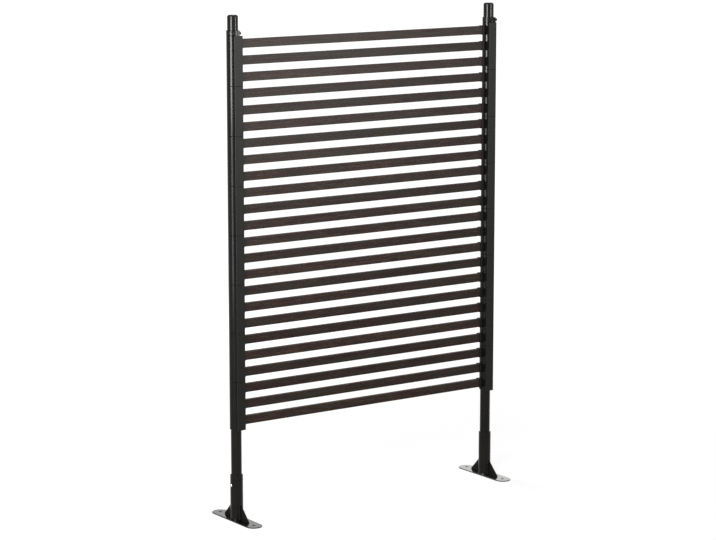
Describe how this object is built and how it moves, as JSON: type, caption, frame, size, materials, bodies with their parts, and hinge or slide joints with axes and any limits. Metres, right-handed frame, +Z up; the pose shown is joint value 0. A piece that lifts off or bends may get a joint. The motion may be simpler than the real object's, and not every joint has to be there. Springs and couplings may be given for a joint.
{
  "type": "garden fence",
  "caption": "Slatted privacy screen: hollow wood-look slats held in black brackets stacked on round posts, with swivelling feet and polished ground plates.",
  "frame": {"origin": "on the ground, midway between the two posts", "axes": "+X along the fence from the left post to the right post seen from the front, -Y is the front (the side of the cheeks), +Z up"},
  "size_m": [0.98, 0.235, 1.495],
  "materials": {
    "slat_wood_look": "satin, fine dark brown grain",
    "black_steel": "black powder coat, satin gloss",
    "bracket_plastic": "black moulded plastic, gloss",
    "fitting_plastic": "black moulded plastic, satin",
    "polished_plate": "polished, bright",
    "bright_screws": "bright zinc"
  },
  "bodies": {
    "poles": {"left_pole": "black_steel", "right_pole": "black_steel", "left_pole_cap": "fitting_plastic", "right_pole_cap": "fitting_plastic"},
    "screen": {"slat_01": "slat_wood_look", "slat_02": "slat_wood_look", "slat_03": "slat_wood_look", "slat_04": "slat_wood_look", "slat_05": "slat_wood_look", "slat_06": "slat_wood_look", "slat_07": "slat_wood_look", "slat_08": "slat_wood_look", "slat_09": "slat_wood_look", "slat_10": "slat_wood_look", "slat_11": "slat_wood_look", "slat_12": "slat_wood_look", "slat_13": "slat_wood_look", "slat_14": "slat_wood_look", "slat_15": "slat_wood_look", "slat_16": "slat_wood_look", "slat_17": "slat_wood_look", "slat_18": "slat_wood_look", "slat_19": "slat_wood_look", "slat_20": "slat_wood_look", "slat_21": "slat_wood_look", "slat_22": "slat_wood_look", "slat_23": "slat_wood_look", "slat_24": "slat_wood_look", "left_bracket_1": "bracket_plastic", "left_bracket_2": "bracket_plastic", "left_bracket_3": "bracket_plastic", "left_bracket_4": "bracket_plastic", "left_bracket_5": "bracket_plastic", "left_bracket_6": "bracket_plastic", "left_bracket_7": "bracket_plastic", "left_bracket_8": "bracket_plastic", "right_bracket_1": "bracket_plastic", "right_bracket_2": "bracket_plastic", "right_bracket_3": "bracket_plastic", "right_bracket_4": "bracket_plastic", "right_bracket_5": "bracket_plastic", "right_bracket_6": "bracket_plastic", "right_bracket_7": "bracket_plastic", "right_bracket_8": "bracket_plastic", "left_bracket_screws": "bright_screws", "right_bracket_screws": "bright_screws"},
    "left_collar": {"left_clamp_collar": "fitting_plastic", "left_clamp_fastener": "bright_screws"},
    "left_foot": {"left_base_plate": "polished_plate", "left_foot_socket": "black_steel", "left_foot_bush": "fitting_plastic", "left_foot_screw": "bright_screws", "left_foot_gussets": "black_steel"},
    "right_collar": {"right_clamp_collar": "fitting_plastic", "right_clamp_fastener": "bright_screws"},
    "right_foot": {"right_base_plate": "polished_plate", "right_foot_socket": "black_steel", "right_foot_bush": "fitting_plastic", "right_foot_screw": "bright_screws", "right_foot_gussets": "black_steel"}
  },
  "joints": [
    {"name": "screen_slide", "type": "slide", "parent": "poles", "child": "screen", "axis": [0, 0, 1], "range_m": [-0.1375, 0]},
    {"name": "left_collar_slide", "type": "slide", "parent": "poles", "child": "left_collar", "axis": [0, 0, 1], "range_m": [0, 0.034]},
    {"name": "left_foot_swivel", "type": "hinge", "parent": "poles", "child": "left_foot", "pos_m": [-0.465, 0, 0], "axis": [0, 0, 1], "continuous": true},
    {"name": "right_collar_slide", "type": "slide", "parent": "poles", "child": "right_collar", "axis": [0, 0, 1], "range_m": [0, 0.034]},
    {"name": "right_foot_swivel", "type": "hinge", "parent": "poles", "child": "right_foot", "pos_m": [0.465, 0, 0], "axis": [0, 0, 1], "continuous": true}
  ]
}
